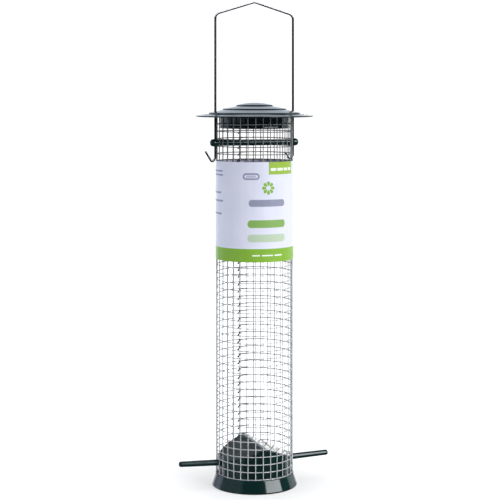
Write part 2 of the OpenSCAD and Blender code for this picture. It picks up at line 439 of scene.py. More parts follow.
def gloss_green(name, deep, light, ior, roughness, peel_size, peel_depth, gloss_behind=0.5):
    """Dark green gloss, as moulded plastic or paint: faint colour drift, a skin like orange peel, dust, rubs.

    gloss_behind is the gloss that is left where the surface is seen from behind. The key panels stand
    opposite there, and would turn the whole lid white."""
    material, n, surface = new_material(name, IOR=ior)
    facing_front = n.add("VectorMath", operation="DOT_PRODUCT")
    n.put(n.add("NewGeometry").outputs["Incoming"], facing_front.inputs[0])
    facing_front.inputs[1].default_value = CAMERA_SIDE
    gloss = n.ramp(facing_front.outputs["Value"], -0.42, -0.10, gloss_behind, 0.5)
    n.put(gloss, surface["Specular IOR Level"])
    drift = n.ramp(n.noise(26, 3), 0.35, 0.65)
    dust = n.product(n.ramp(n.noise(1.1, 5), 0.60, 0.76), n.ramp(n.noise(14), 0.40, 0.62))
    colour = n.blend(drift, deep, light)
    colour = n.blend(n.product(dust, 0.05), colour, (0.30, 0.32, 0.30))
    n.put(colour, surface["Base Color"])
    smears = n.ramp(n.noise(9, 4, (1.0, 1.0, 0.45)), 0.42, 0.70, 0.0, 0.10)
    rubs = n.ramp(n.noise(0.5, 2, (0.06, 1.0, 1.0)), 0.66, 0.76, 0.0, 0.12)
    n.put(n.total(smears, rubs, n.product(dust, 0.25), roughness), surface["Roughness"])
    peel = n.bump(n.noise(peel_size, 1.5), peel_depth)
    fine = n.bump(n.noise(0.35, 3), 0.0012, peel)
    n.put(fine, surface["Normal"])
    return material


def zinc_wire(name, outside, inside):
    """Galvanised wire: bright and dull crystals, grey patches, small runs; painted shade on the side that
    faces into the tube, and a painted shadow under the lid.
    """
    material, n, surface = new_material(name, Metallic=0.22, Specular_IOR_Level=0.6)
    spangle = n.crystals(1.3)
    dull = n.ramp(n.noise(5, 3), 0.42, 0.66)
    x, y, z = n.split(n.place)
    across, along, _ = n.split(n.add("NewGeometry").outputs["Normal"])
    outward = n.math("DIVIDE", n.total(n.product(x, across), n.product(y, along)), n.length(x, y))
    # Painted shade: the side of a wire that faces into the tube takes the darker inside colour.
    colour = n.blend(n.ramp(outward, -0.5, 0.4), inside, outside)
    colour = n.blend(n.product(spangle, 0.22), colour, (0.95, 0.97, 0.98))
    colour = n.blend(n.product(dull, 0.35), colour, tuple(0.45 * c for c in outside))
    # Painted shadow: the wires darken towards the lid, as if in its shade.
    brim_z = box("lid_cap")[0][2]
    painted_lid_shadow = n.ramp(z, (brim_z - 59.6) * MM, (brim_z - 25.6) * MM, 0.0, 0.78)
    colour = n.blend(painted_lid_shadow, colour, (0.09, 0.10, 0.11))
    n.put(colour, surface["Base Color"])
    n.put(n.total(n.product(spangle, 0.12), n.product(dull, 0.2), 0.30), surface["Roughness"])
    runs = n.noise(0.5, 3, (1.0, 1.0, 0.5))
    n.put(n.bump(runs, 0.03), surface["Normal"])
    return material


def drawn_steel():
    """Dark drawn wire: fine lines along it, a few rubbed places, and a painted highlight where it faces up.
    """
    material, n, surface = new_material("drawn_steel", Metallic=1.0)
    lines = n.noise(0.25, 3, (1.0, 1.0, 0.02))
    rubbed = n.ramp(n.noise(7, 4), 0.58, 0.74)
    colour = n.blend(lines, (0.060, 0.060, 0.070), (0.105, 0.105, 0.118))
    colour = n.blend(n.product(rubbed, 0.35), colour, (0.26, 0.26, 0.28))
    # Painted highlight: where the wire faces up its colour turns bright and it is less metallic, standing in
    # for the light from above.
    facing_up = n.split(n.add("NewGeometry").outputs["Normal"])[2]
    painted_top_highlight = n.ramp(facing_up, 0.02, 0.35)
    colour = n.blend(painted_top_highlight, colour, (0.86, 0.87, 0.90))
    n.put(n.total(n.product(painted_top_highlight, -0.8), 1.0), surface["Metallic"])
    n.put(colour, surface["Base Color"])
    n.put(n.total(n.product(lines, 0.15), n.product(rubbed, -0.08), 0.27), surface["Roughness"])
    n.put(n.bump(lines, 0.02), surface["Normal"])
    return material


class Print:
    """Plain print on the card: u runs round the sleeve to the right from its front, v is the height."""

    def __init__(self, nodes, radius):
        self.n = nodes
        x, y, z = nodes.split(nodes.place)
        self.u = nodes.product(nodes.math("ARCTAN2", x, nodes.math("MULTIPLY", y, -1.0)), radius)
        self.v = nodes.math("DIVIDE", z, MM)
        self.from_axis = nodes.length(x, y)

    def bar_distance(self, u, v, half_u, half_v, corner):
        """Distance to a bar with rounded corners, centred where u and v are 0; below 0 inside it."""
        n = self.n
        du = n.math("SUBTRACT", n.math("ABSOLUTE", u), half_u - corner)
        dv = n.math("SUBTRACT", n.math("ABSOLUTE", v), half_v - corner)
        over_u, over_v = n.math("MAXIMUM", du, 0.0), n.math("MAXIMUM", dv, 0.0)
        inner = n.math("MINIMUM", n.math("MAXIMUM", du, dv), 0.0)
        return n.total(n.length(over_u, over_v), inner, -corner)

    def ink(self, distance):
        """1 inside a shape and 0 outside it, with the slight soak of ink into card."""
        return self.n.ramp(distance, -0.09, 0.09, 1.0, 0.0)

    def centred(self, low_u, high_u, low_v, high_v):
        """Place on the card from the middle of a field, and half the field's width and height."""
        u = self.n.math("SUBTRACT", self.u, (low_u + high_u) / 2)
        v = self.n.math("SUBTRACT", self.v, (low_v + high_v) / 2)
        return u, v, (high_u - low_u) / 2, (high_v - low_v) / 2

    def bar(self, low_u, high_u, low_v, high_v, corner=0.3):
        return self.ink(self.bar_distance(*self.centred(low_u, high_u, low_v, high_v), corner))

    def pill_outline(self, low_u, high_u, low_v, high_v, line):
        u, v, half_u, half_v = self.centred(low_u, high_u, low_v, high_v)
        distance = self.bar_distance(u, v, half_u, half_v, half_v)
        off_line = self.n.math("ABSOLUTE", self.n.total(distance, line / 2))
        return self.ink(self.n.total(off_line, -line / 2))

    def seed_ring(self, centre_u, centre_v, radius, seeds, half_long, half_wide):
        """Seeds set in a circle, each pointing away from its centre."""
        n = self.n
        u = n.math("SUBTRACT", self.u, centre_u)
        v = n.math("SUBTRACT", self.v, centre_v)
        step = 2 * math.pi / seeds
        turn = n.total(n.math("ARCTAN2", u, v), math.pi + step / 2)
        turn = n.total(n.math("MODULO", turn, step), -step / 2)
        across = n.math("DIVIDE", n.product(turn, radius), half_wide)
        along = n.math("DIVIDE", n.total(n.length(u, v), -radius), half_long)
        return self.ink(n.product(n.total(n.length(across, along), -1.0), half_wide))


def printed_card(sleeve_r):
    """Coated card with flat print: a green band and flag, plain bars and a ring of seeds, no lettering."""
    material, n, surface = new_material("printed_card", IOR=1.48, Coat_Weight=0.25, Coat_Roughness=0.22)
    art = Print(n, sleeve_r)
    low, high = card_low, card_high
    green, lime, leaf, pale = (0.25, 0.48, 0.040), (0.33, 0.52, 0.050), (0.25, 0.45, 0.11), (0.52, 0.64, 0.46)
    grey, slate, light_slate = (0.30, 0.31, 0.42), (0.32, 0.32, 0.46), (0.50, 0.50, 0.64)
    white = (0.88, 0.93, 0.84)
    left_ink, right_ink = (0.32, 0.32, 0.47), (0.30, 0.30, 0.44)
    layers = [
        (art.bar(-400, 400, low - 1, low + 11.5), green),
        (art.bar(1.5, 30.2, high - 10.7, high + 2), lime),
        (art.pill_outline(-21.3, -6.6, high - 15.2, high - 9.4, 1.5), slate),
        (art.bar(-18.0, -9.9, high - 13.1, high - 11.5), light_slate),
        (art.seed_ring(1.2, high - 22.2, 3.7, 8, 2.0, 1.28), green),
        (art.bar(-16.0, 17.8, high - 38.1, high - 32.2, 2.6), grey),
        (art.bar(-17.0, 18.4, high - 56.2, high - 49.6, 3.0), leaf),
        (art.bar(-17.0, 18.4, high - 68.4, high - 61.8, 3.0), pale),
    ]
    for start, end in ((-13.0, -6.2), (-4.6, 5.4), (7.0, 14.8)):
        layers.append((art.bar(start, end, low + 5.2, low + 6.4), white))
    for start, end in ((3.2, 8.8), (9.9, 16.0), (17.1, 22.2), (23.3, 28.0)):
        layers.append((art.bar(start, end, high - 7.6, high - 5.2), white))
    for down, start in ((8.3, -43.0), (11.6, -42.5), (26.9, -45.5), (34.0, -42.5), (45.2, -44.5)):
        layers.append((art.bar(-78.0, start, high - down - 0.8, high - down + 0.8), left_ink))
    for down, end in ((9.0, 84.0), (12.5, 80.0), (24.0, 82.0), (31.0, 76.0), (38.0, 84.0)):
        layers.append((art.bar(48.0, end, high - down - 0.6, high - down + 0.6), right_ink))
    mottle = n.ramp(n.noise(18, 2), 0.3, 0.7)
    colour = n.blend(mottle, (0.79, 0.79, 0.92), (0.76, 0.765, 0.90))
    face = n.ramp(art.from_axis, (sleeve_r - 0.16) * MM, (sleeve_r - 0.10) * MM)
    for ink, tone in layers:
        colour = n.blend(n.product(ink, face), colour, tone)
    n.put(colour, surface["Base Color"])
    n.put(n.ramp(n.noise(6, 3), 0.3, 0.7, 0.34, 0.46), surface["Roughness"])
    fibre = n.bump(n.noise(0.6, 4), 0.006)
    n.put(n.bump(n.noise(12, 1), 0.05, fibre), surface["Normal"])
    return material


# ---- foot

FOOT_WALL = 2.0                     # wall of the moulding
RIDGE_ROUND = 6.0                   # radius of the roof's ridge
EAVE_ROUND = 1.1                    # radius of the roof's outer edge
RIB_HALF = 0.8                      # half the thickness of a rib under the roof
ROOF_ROWS = 16                      # faces along a strip of the roof

base, base_r = points("base"), radii("base")
ledge_z = upright_low
rim_r = base_r.max()
rim_z = base[base_r > rim_r - 0.01][:, 2].max()
ledge_r = base_r[np.abs(base[:, 2] - ledge_z) < 0.01].max()
plug_r = base_r[base[:, 2] > ledge_z + 1].max()
ridge_z = base[:, 2].max()
eave_z = base[(np.abs(base[:, 0]) > plug_r - 0.05) & (base_r > plug_r - 0.05)][:, 2].max()
roof_slope = 0.0
for _ in range(5):                  # the round ridge makes the two planes a little steeper
    roof_slope = math.atan2(ridge_z - eave_z, plug_r - RIDGE_ROUND * math.tan(roof_slope / 2))


def roof(x, drop=0.0):
    """Height of the roof over x, lowered by drop: two slopes joined by a round ridge."""
    x = np.abs(x)
    flat = ridge_z - (x - RIDGE_ROUND * math.tan(roof_slope / 2)) * math.tan(roof_slope)
    rounded_top = ridge_z - RIDGE_ROUND + np.sqrt(np.maximum(RIDGE_ROUND ** 2 - x ** 2, 0))
    return np.where(x < RIDGE_ROUND * math.sin(roof_slope), rounded_top, flat) - drop


def foot_rings(around):
    """Rings of points of the skin: from under the roof down the inside, round the rim, and up to the roof."""
    def ring(radius, z):
        level = np.broadcast_to(z, len(around))
        return np.column_stack([radius * np.cos(around), radius * np.sin(around), level])

    inner_r = plug_r - FOOT_WALL
    rings = [ring(inner_r, roof(inner_r * np.cos(around), FOOT_WALL / math.cos(roof_slope)))]
    skirt = rounded([(inner_r, ledge_z + 4), (inner_r, ledge_z, 1.0), (rim_r - FOOT_WALL, 0.0, 0.5),
                     (rim_r, 0.0, 0.9), (rim_r, rim_z, 1.2), (ledge_r, ledge_z, 0.45),
                     (plug_r, ledge_z, 0.3), (plug_r, ledge_z + 2)])
    rings += [ring(radius, z) for radius, z in skirt]
    wall_top = roof(plug_r * np.cos(around), EAVE_ROUND)
    for share in (0.35, 0.7):
        rings.append(ring(plug_r, (1 - share) * (ledge_z + 2) + share * wall_top))
    for a in np.linspace(0, math.pi / 2, 8):
        radius = plug_r - EAVE_ROUND + EAVE_ROUND * math.cos(a)
        rings.append(ring(radius, roof(radius * np.cos(around), EAVE_ROUND * (1 - math.sin(a)))))
    return rings


def close_with_roof(verts, faces, first, count, drop):
    """Fills a ring of count points, from verts[first] on, with strips that run between mirrored points."""
    half = count // 2
    strips = [[first] * (ROOF_ROWS + 1)]
    for i in range(1, half):
        top, bottom = verts[first + i], verts[first + count - i]
        strip = [first + i]
        for share in np.arange(1, ROOF_ROWS) / ROOF_ROWS:
            strip.append(len(verts))
            verts.append((top[0], top[1] * (1 - share) + bottom[1] * share, float(roof(top[0], drop))))
        strips.append(strip + [first + count - i])
    strips.append([first + half] * (ROOF_ROWS + 1))
    for a, b in zip(strips, strips[1:]):
        for k in range(ROOF_ROWS):
            add_face(faces, a[k], a[k + 1], b[k + 1], b[k])


def foot_ribs():
    """Two crossed ribs under the roof, sunk a little into its wall."""
    reach = plug_r - FOOT_WALL + 0.8
    low = ledge_z - 4
    gable = [(-reach, low), (reach, low)]
    gable += [(x, float(roof(x, 1.0))) for x in np.linspace(reach, -reach, 13)]
    flat = [(-reach, low), (reach, low), (reach, ridge_z - 1.2), (-reach, ridge_z - 1.2)]
    return [prism(gable, -RIB_HALF, RIB_HALF, 1), prism(flat, -RIB_HALF, RIB_HALF, 0)]


def perch_sockets():
    """Bosses that hold the perches, and the bores in them."""
    root, line = perch_axis("perch_right")
    radius = perch_root_radius("perch_right")
    boss_wall, bore_gap, bore_length = 1.8, 0.03, 20.0
    bosses, bores = [], []
    for side in (-1, 1):
        flip = np.array([side, 1, 1])
        start = root - line * 3.0
        end = root + line * (plug_r - 0.7 - root[0])
        length = float(np.linalg.norm(end - start))
        bosses.append(along_axis(plain_rod(radius + boss_wall, 0, length, 48), start * flip, end * flip))
        outer = root + line * bore_length
        bores.append(along_axis(plain_rod(radius + bore_gap, 0, bore_length, 48), root * flip, outer * flip))
    return bosses, bores


def foot():
    """Moulded foot: flared skirt, ledge for the mesh, and a roofed plug, hollow beneath with ribs."""
    # The points of a ring lie in pairs, at an angle and its mirror, and closer together near the ridge.
    spread = list(np.linspace(0, math.pi, 97))
    spread += list(math.pi / 2 + np.radians(np.arange(-3.3, 3.4, 0.55)))
    upper = np.unique(np.round(spread, 5))
    around = np.concatenate([upper, -upper[-2:0:-1]])
    count = len(around)
    rings = foot_rings(around)
    verts = list(np.vstack(rings))
    faces = skin(len(rings), count)
    close_with_roof(verts, faces, 0, count, FOOT_WALL / math.cos(roof_slope))
    close_with_roof(verts, faces, (len(rings) - 1) * count, count, 0.0)
    shell = make("foot", (np.array(verts), faces))
    bosses, bores = perch_sockets()
    cut(shell, "UNION", *foot_ribs(), *bosses)
    cut(shell, "DIFFERENCE", *bores)
    return shell


# ---- perches

def perch_axis(node):
    """Centre of a perch's inner end and the direction of its length."""
    p = points(node)
    side = 1 if p[:, 0].mean() > 0 else -1
    x = p[:, 0] * side
    root = p[x < x.min() + 0.3]
    tip = p[x > x.max() - 0.3]
    root = (root.min(0) + root.max(0)) / 2
    tip = (tip.min(0) + tip.max(0)) / 2
    line = (tip - root) / np.linalg.norm(tip - root)
    return root, line


def perch_root_radius(node):
    """Radius of a perch at its thickest, which is its inner end."""
    p = points(node)
    root, line = perch_axis(node)
    off = p - root
    far = np.linalg.norm(off - np.outer(off @ line, line), axis=1)
    return float(far.max())


def perch(name, node):
    """Tapered peg with a round tip, and the fine line that the two halves of its mould leave."""
    p = points(node)
    root, line = perch_axis(node)
    length = float(((p - root) @ line).max())
    root_r = perch_root_radius(node)
    tip_r = 0.9 * root_r
    tip_depth = 0.85 * tip_r
    chamfer, straight = 0.4, 14
    line_height, line_half = 0.07, 0.07
    profile = [(0.0, 0.0), (root_r - chamfer, 0.0), (root_r, chamfer)]
    for share in np.linspace(0.02, 1, 30):
        z = chamfer + (length - chamfer - tip_depth) * share
        taper = 0 if z < straight else (z - straight) / (length - straight)
        profile.append((root_r + (tip_r - root_r) * taper, z))
    for a in np.linspace(0.12, math.pi / 2, 10):
        profile.append((tip_r * max(math.cos(a), 0.0) ** 0.82, length - tip_depth * (1 - math.sin(a))))
    profile[-1] = (0.0, length)
    verts, faces = lathe(profile, 48)
    angle = np.arctan2(verts[:, 1], verts[:, 0])
    mould_line = np.exp(-(np.sin(angle) / line_half) ** 2)
    radius = np.maximum(np.hypot(verts[:, 0], verts[:, 1]), 1e-6)
    grow = 1 + line_height * mould_line / radius * (radius > 1)
    verts[:, :2] *= grow[:, None]
    return make(name, along_axis((verts, faces), root, root + line))


# ---- mesh tube

def weld_swell(distance):
    """How much a wire is thickened near a weld."""
    return 0.05 * np.exp(-(distance / 0.55) ** 2)


def sideways(angle, z):
    """Small drift of an upright round the tube, the same for every wire that meets there."""
    return 0.10 * math.sin(3.1 * angle + 0.021 * z) + 0.07 * math.sin(7.7 * angle - 0.053 * z + 1.3)


def upward(angle, z):
    """Small drift of a ring up and down."""
    return 0.10 * math.sin(2 * angle + 0.37 * z) + 0.06 * math.sin(5 * angle - 1.9 * z)


def on_tube(radius, angle, z):
    """Point on the tube, moved by the drift of the wires there."""
    turn = angle + sideways(angle, z) / radius
    return radius * math.cos(turn), radius * math.sin(turn), z + upward(angle, z)


def mesh_uprights():
    """Upright wires, each thickened where it is welded to a ring."""
    parts = []
    for angle in upright_angles:
        heights = [upright_low, upright_low + 0.2]
        for z, above in zip(ring_heights, ring_heights[1:] + [upright_high]):
            heights += [z - 0.7, z, z + 0.7, (z + above) / 2]
        heights = {z for z in heights if upright_low <= z < upright_high - 0.3}
        heights = sorted(heights | {upright_high})
        gap = np.min(np.abs(np.subtract.outer(heights, ring_heights)), axis=1)
        path = [on_tube(upright_r, angle, z) for z in heights]
        path[0] = (path[0][0], path[0][1], upright_low)
        radius = wire_r + weld_swell(gap)
        path, radius = with_round_ends(path, radius)
        parts.append(sweep(path, radius, 8))
    return make("mesh_wire_uprights", joined(parts))


def mesh_rings():
    """Ring wires, each thickened where it is welded to an upright."""
    parts = []
    for z in ring_heights:
        path, gaps = [], []
        for angle in upright_angles:
            for share in (-0.5, -0.1, 0.0, 0.1):
                path.append(on_tube(ring_r, angle + share * cell_angle, z))
                gaps.append(share * cell_angle * ring_r)
        parts.append(sweep(path, wire_r + weld_swell(np.array(gaps)), 8, closed=True))
    return make("mesh_wire_rings", joined(parts))


def seam_ties():
    """Ends of the ring wires: each runs along inside its ring, then wraps down round the seam upright."""
    tail_r, tie_r, tight_tie_r, tip_r = 0.28, 0.62, 0.36, 0.34
    tail_points, turn_points = 12, 30
    start, end, fall = -0.72 * math.pi, -2.1 * math.pi, 0.8 * math.pi
    half_deep = tie_outer_r - upright_r - tight_tie_r
    inner_deep, half_wide = 1.7, 1.5
    outward = np.array([math.cos(seam_angle), math.sin(seam_angle), 0])
    round_tube = np.array([-math.sin(seam_angle), math.cos(seam_angle), 0])
    plug_z = box("lid_collar")[0][2] - 5
    parts = []
    for z in tie_heights:
        ring_z = max(h for h in ring_heights if h < z)
        beside_plug = ring_z > plug_z
        drop = random.uniform(2.7, 3.3)
        path = []
        for cells in np.linspace(random.uniform(1.3, 1.6), 0.35, tail_points):
            line_r = ring_r if beside_plug else ring_r - wire_r - tail_r
            path.append(np.array(on_tube(line_r, seam_angle - cells * cell_angle, ring_z)))
        centre = np.array(on_tube(upright_r, seam_angle, ring_z))
        for a in np.linspace(start, end, turn_points):
            down = min((start - a) / fall, 1.0)
            deep = half_deep if beside_plug else inner_deep + (half_deep - inner_deep) * down
            spot = outward * math.cos(a) * deep + round_tube * math.sin(a) * half_wide
            path.append(centre + spot - np.array([0, 0, drop * down * down * (3 - 2 * down)]))
        turn_r = tight_tie_r if beside_plug else tie_r
        radius = np.concatenate([np.linspace(tail_r, 0.9 * turn_r, tail_points),
                                 np.full(turn_points // 2, turn_r),
                                 np.linspace(turn_r, tip_r, turn_points // 2)])
        path, radius = with_round_ends(path, radius)
        parts.append(sweep(path, radius, 8))
    return make("mesh_seam_ties_wire", joined(parts))


# ---- card sleeve

def card_sleeve():
    """Card wrapped tight round the mesh, over the tied seam, and glued where its end laps over. Returns the
    object and the card's outer radius."""
    front_r = radii("label_sleeve")[points("label_sleeve")[:, 1] < 0]
    gap = 0.03
    inner_r = front_r.min() + gap
    card = front_r.max() - inner_r
    lap_start = math.radians(140)
    lap = math.radians(13)
    hump_half = math.acos(inner_r / (tie_outer_r + gap))
    lap_r = inner_r + card + gap
    climb = math.acos(inner_r / lap_r)
    sag_depth = 0.035

    def radius(turned):
        """Inner radius of the sheet after it has turned that far from its start."""
        angle = lap_start + turned
        sag = sag_depth * (1 - math.cos((angle - upright_angles[0]) / cell_angle * 2 * math.pi))
        from_seam = abs((angle - seam_angle + math.pi) % (2 * math.pi) - math.pi)
        left = 2 * math.pi - turned
        if from_seam < hump_half:
            peak = inner_r / math.cos(hump_half - from_seam)
            return peak - 0.10 * math.exp(-(from_seam / 0.02) ** 2) + 0.10
        if left < 0:
            return lap_r - sag
        if left < climb:
            return inner_r / math.cos(climb - left)
        return inner_r + 2 * sag_depth - sag

    height = card_high - card_low
    edge = 0.12
    shares = np.linspace(0.05, 0.95, 19)
    across = [(card, edge), (card, 0.5)]
    across += [(card, share * height) for share in shares]
    across += [(card, height - 0.5), (card, height - edge), (card / 2, height), (0.0, height - edge)]
    across += [(0.0, share * height) for share in shares[::-1]]
    across += [(0.0, edge), (card / 2, 0.0)]
    turns = np.linspace(0, 2 * math.pi + lap, 280)
    verts = []
    for turned in turns:
        angle = lap_start + turned
        for out, z in across:
            wave = 0.05 * math.sin(3 * angle + 0.05 * z) * math.sin(0.9 + 2.1 * angle)
            r = radius(turned) + out + 0.5 * abs(wave) * (1 if out else 0.6)
            verts.append((r * math.cos(angle), r * math.sin(angle), card_low + z))
    count = len(across)
    faces = skin(len(turns), count)
    faces.append(list(range(count)))
    faces.append(list(range((len(turns) - 1) * count, len(turns) * count))[::-1])
    return make("card_sleeve", (np.array(verts), faces)), inner_r + card


# ---- crossbar

BAR_HOLE_R = 1.2                    # holes for the hanger's legs in the crossbar
LID_HOLE_R = 1.5                    # and in the lid


def leg_holes(low, high, radius):
    """Round tools for the holes that the two legs of the hanger pass through, left and right."""
    verts, faces = plain_rod(radius, low, high, 40)
    return [(verts + np.array([side * leg_x, 0, 0]), faces) for side in (-1, 1)]


def crossbar():
    """Rod with a thinner neck at each end, where a knob is pushed on."""
    p = points("crossbar_rod")
    end_x = p[:, 0].max()
    rod_r = (p[:, 2].max() - p[:, 2].min()) / 2
    shoulder_x = p[p[:, 2] > p[:, 2].max() - 0.2][:, 0].max()
    neck_r = p[p[:, 0] > end_x - 0.1][:, 2].max() - bar_z
    profile = rounded([(0, -end_x), (neck_r, -end_x, 0.3), (neck_r, -shoulder_x), (rod_r, -shoulder_x, 0.35),
                       (rod_r, shoulder_x, 0.35), (neck_r, shoulder_x), (neck_r, end_x, 0.3), (0, end_x)])
    rod = make("crossbar", along_axis(lathe(profile, 64), (0, 0, bar_z), (1, 0, bar_z)))
    return cut(rod, "DIFFERENCE", *leg_holes(bar_z - 6, bar_z + 6, BAR_HOLE_R))


def knob(name, node, side):
    """Ball-shaped end of the crossbar."""
    low, high = box(node)
    start = min(abs(low[0]), abs(high[0]))
    length = high[0] - low[0]
    ball_r = (high[2] - low[2]) / 2
    neck_r, neck_depth = 1.88, 4.9
    profile = [(neck_r, neck_depth), (neck_r, 0.0), (ball_r - 0.75, 0.0), (ball_r - 0.3, 0.12)]
    for t in np.linspace(0.05, 1, 24):
        bulge = (1 - abs(2 * t - 1) ** 2.5) ** 0.46 if t > 0.5 else 1 - 0.09 * (1 - 2 * t) ** 2
        profile.append((ball_r * bulge, length * t))
    profile.append((0.0, neck_depth))
    foot_place, next_place = (side * start, 0, bar_z), (side * (start + 1), 0, bar_z)
    ball = make(name, along_axis(lathe(profile, 64), foot_place, next_place))
    left_hole, right_hole = leg_holes(bar_z - 6, bar_z + 6, BAR_HOLE_R)
    return cut(ball, "DIFFERENCE", left_hole if side < 0 else right_hole)


# ---- lid

def lid_corners():
    """Corners of the lid's upper surface as (radius, height), from the brim inwards to the dome's edge."""
    p = points("lid_cap")
    near_leg = np.hypot(np.abs(p[:, 0]) - leg_x, p[:, 1]) < 3
    p = p[~near_leg]
    r = np.hypot(p[:, 0], p[:, 1])
    brim_r = r.max()
    keep = r < brim_r - 3
    spans = groups(r[keep], 0.05)
    corners = [((a + b) / 2, p[(r >= a - 1e-6) & (r <= b + 1e-6)][:, 2].max()) for a, b in spans]
    return [c for c in corners if c[0] > 0.29 * brim_r][::-1]


def lid_cap():
    """Pressed lid: conical bands with a step between each two, a dome, and a rolled hem round the brim."""
    p = points("lid_cap")
    brim_r = radii("lid_cap").max()
    top_z, low_z = p[:, 2].max(), p[:, 2].min()
    sheet, hem_r = 1.0, 0.65
    step_round, dome_round = 0.55, 0.45
    hem = np.array([brim_r - hem_r, low_z + hem_r])
    steps = lid_corners()
    dome_r, dome_z = steps[-1]
    upper = [(brim_r - 2.2, hem[1] + hem_r + 0.02)]
    upper += [(r, z, step_round) for r, z in steps[:-1]]
    upper += [(dome_r, dome_z, dome_round)]
    for share in np.linspace(0.9, 0, 12):
        upper.append((dome_r * share, dome_z + (top_z - dome_z) * (1 - share ** 2)))
    top = rounded(upper)
    under = top[:0:-1] - np.array([0, sheet])
    roll = [hem + hem_r * np.array([math.cos(a), math.sin(a)]) for a in np.radians(np.linspace(-160, 86, 26))]
    cap = make("lid", lathe(np.vstack([top, under, roll]), 256))
    return cut(cap, "DIFFERENCE", *leg_holes(low_z - 2, top_z + 2, LID_HOLE_R))


def lid_collar():
    """Sheet collar that plugs the tube, with its lower edge rolled in."""
    low, high = box("lid_collar")
    outer_r = high[0]
    z = low[2]
    inner_r = radii("lid_collar").min()
    profile = rounded([(outer_r, high[2]), (outer_r, z + 3.4), (outer_r - 0.25, z + 2.9, 0.4),
                       (outer_r - 0.25, z + 2.3, 0.4), (outer_r, z + 1.8), (outer_r, z, 0.6),
                       (inner_r - 0.5, z, 0.6), (inner_r - 0.5, z + 1.2, 0.5), (inner_r, z + 1.6, 0.3),
                       (inner_r, high[2])], closed=True)
    return make("lid_plug", lathe(profile, 192))


# ---- hanger

def hanger():
    """One bent wire: a peaked top, two shoulders, two legs, and an open V at the foot of each leg."""
    p = points("hanger")
    apex = hanger_high[2] - hanger_r
    slope = math.radians(17)
    lean = math.radians(32)
    bend, shoulder, crown, tip_bend = 2.0, 5.0, 4.0, 1.5
    arm = 2.2 + bend * math.tan(lean / 2) + tip_bend * math.tan(math.pi / 2 - lean)
    peak = apex + crown * (1 / math.cos(slope) - 1)
    corner_z = peak - leg_x * math.tan(slope)

    def hook(side):
        """Corners of the V at the foot of one leg, from its tip up to where the leg begins."""
        near = p[np.abs(p[:, 0] - side * leg_x) < 12]
        foot_z = near[:, 2].min() + hanger_r
        v_z = foot_z - tip_bend * (1 / math.sin(lean) - 1)
        v_x = side * leg_x - arm * math.sin(lean)
        leg_end = v_z + arm * math.cos(lean)
        tip_x = near[:, 0].min() + hanger_r * math.cos(lean)
        tip_z = v_z + (v_x - tip_x) / math.tan(lean)
        return [(tip_x, tip_z), (v_x, v_z, tip_bend), (side * leg_x, leg_end, bend)]

    corners = hook(-1)
    corners += [(-leg_x, corner_z, shoulder), (0, peak, crown), (leg_x, corner_z, shoulder)]
    corners += hook(1)[::-1]
    outline = rounded(corners)
    path = []
    for a, b in zip(outline, outline[1:]):
        pieces = max(1, int(np.linalg.norm(b - a) // 6))
        path += [a + (b - a) * k / pieces for k in range(pieces)]
    path.append(outline[-1])
    path = np.array([(x, 0.0, z) for x, z in path])
    path, radius = with_round_ends(path, hanger_r, share=0.5)
    return make("hanger_wire", sweep(path, radius, 24))


# ---- pieces on their bodies

plastic = gloss_green("gloss_plastic", (0.0022, 0.0170, 0.0160), (0.0032, 0.0220, 0.0205),
                      ior=1.7, roughness=0.08, peel_size=7.0, peel_depth=0.012)
# Painted shade: a darker, rougher copy of the plastic for the left perch only, taking away its highlight; the
# right perch keeps the lit plastic.
shaded_perch_plastic = gloss_green("shaded_perch_plastic", (0.0022, 0.0150, 0.0170), (0.0032, 0.0200, 0.0215),
                           ior=1.45, roughness=0.30, peel_size=7.0, peel_depth=0.012)
paint = gloss_green("gloss_paint", (0.0022, 0.0085, 0.0110), (0.0032, 0.0120, 0.0150),
                    ior=1.6, roughness=0.10, peel_size=2.2, peel_depth=0.010, gloss_behind=0.01)
# The second colour of each wire is painted shade, for its side that faces into the tube.
zinc = zinc_wire("zinc_wire", (0.65, 0.655, 0.66), (0.25, 0.255, 0.265))
tied_zinc = zinc_wire("zinc_wire_tied", (0.20, 0.21, 0.22), (0.015, 0.015, 0.018))
steel = drawn_steel()
sleeve, sleeve_r = card_sleeve()
card = printed_card(sleeve_r)
knob_left = knob("crossbar_ball_left", "crossbar_knob_left", -1)
knob_right = knob("crossbar_ball_right", "crossbar_knob_right", 1)

dress(foot(), "cage", plastic, "base")
dress(perch("perch_peg_left", "perch_left"), "cage", shaded_perch_plastic, "perch_left")
dress(perch("perch_peg_right", "perch_right"), "cage", plastic, "perch_right")
dress(mesh_uprights(), "cage", zinc, "mesh_uprights")
dress(mesh_rings(), "cage", zinc, "mesh_rings")
dress(seam_ties(), "cage", tied_zinc, "mesh_seam_ties")
dress(sleeve, "cage", card, "label_sleeve")
dress(crossbar(), "cage", plastic, "crossbar_rod")
dress(knob_left, "cage", plastic, "crossbar_knob_left")
dress(knob_right, "cage", plastic, "crossbar_knob_right")
dress(lid_cap(), "lid", paint, "lid_cap")
dress(lid_collar(), "lid", paint, "lid_collar")
dress(hanger(), "hanger", steel, "hanger")


# ---- floor, light, camera

def from_camera(n, x, y):
    """Shares of a level direction that point away from the camera and to its right."""
    s, c = math.sin(CAMERA_AZIMUTH), math.cos(CAMERA_AZIMUTH)
    return n.total(n.product(x, -s), n.product(y, c)), n.total(n.product(x, c), n.product(y, s))


def backlight(n, x, y, z):
    """Extra light where a direction from the camera passes through the mesh below the card, else 0."""
    away, right = from_camera(n, x, y)
    across = n.window(n.math("DIVIDE", right, away), -0.032, 0.032, 0.004)
    down = n.window(n.math("DIVIDE", z, away), -0.250, -0.118, 0.004)
    return n.product(across, down, BACKLIGHT)


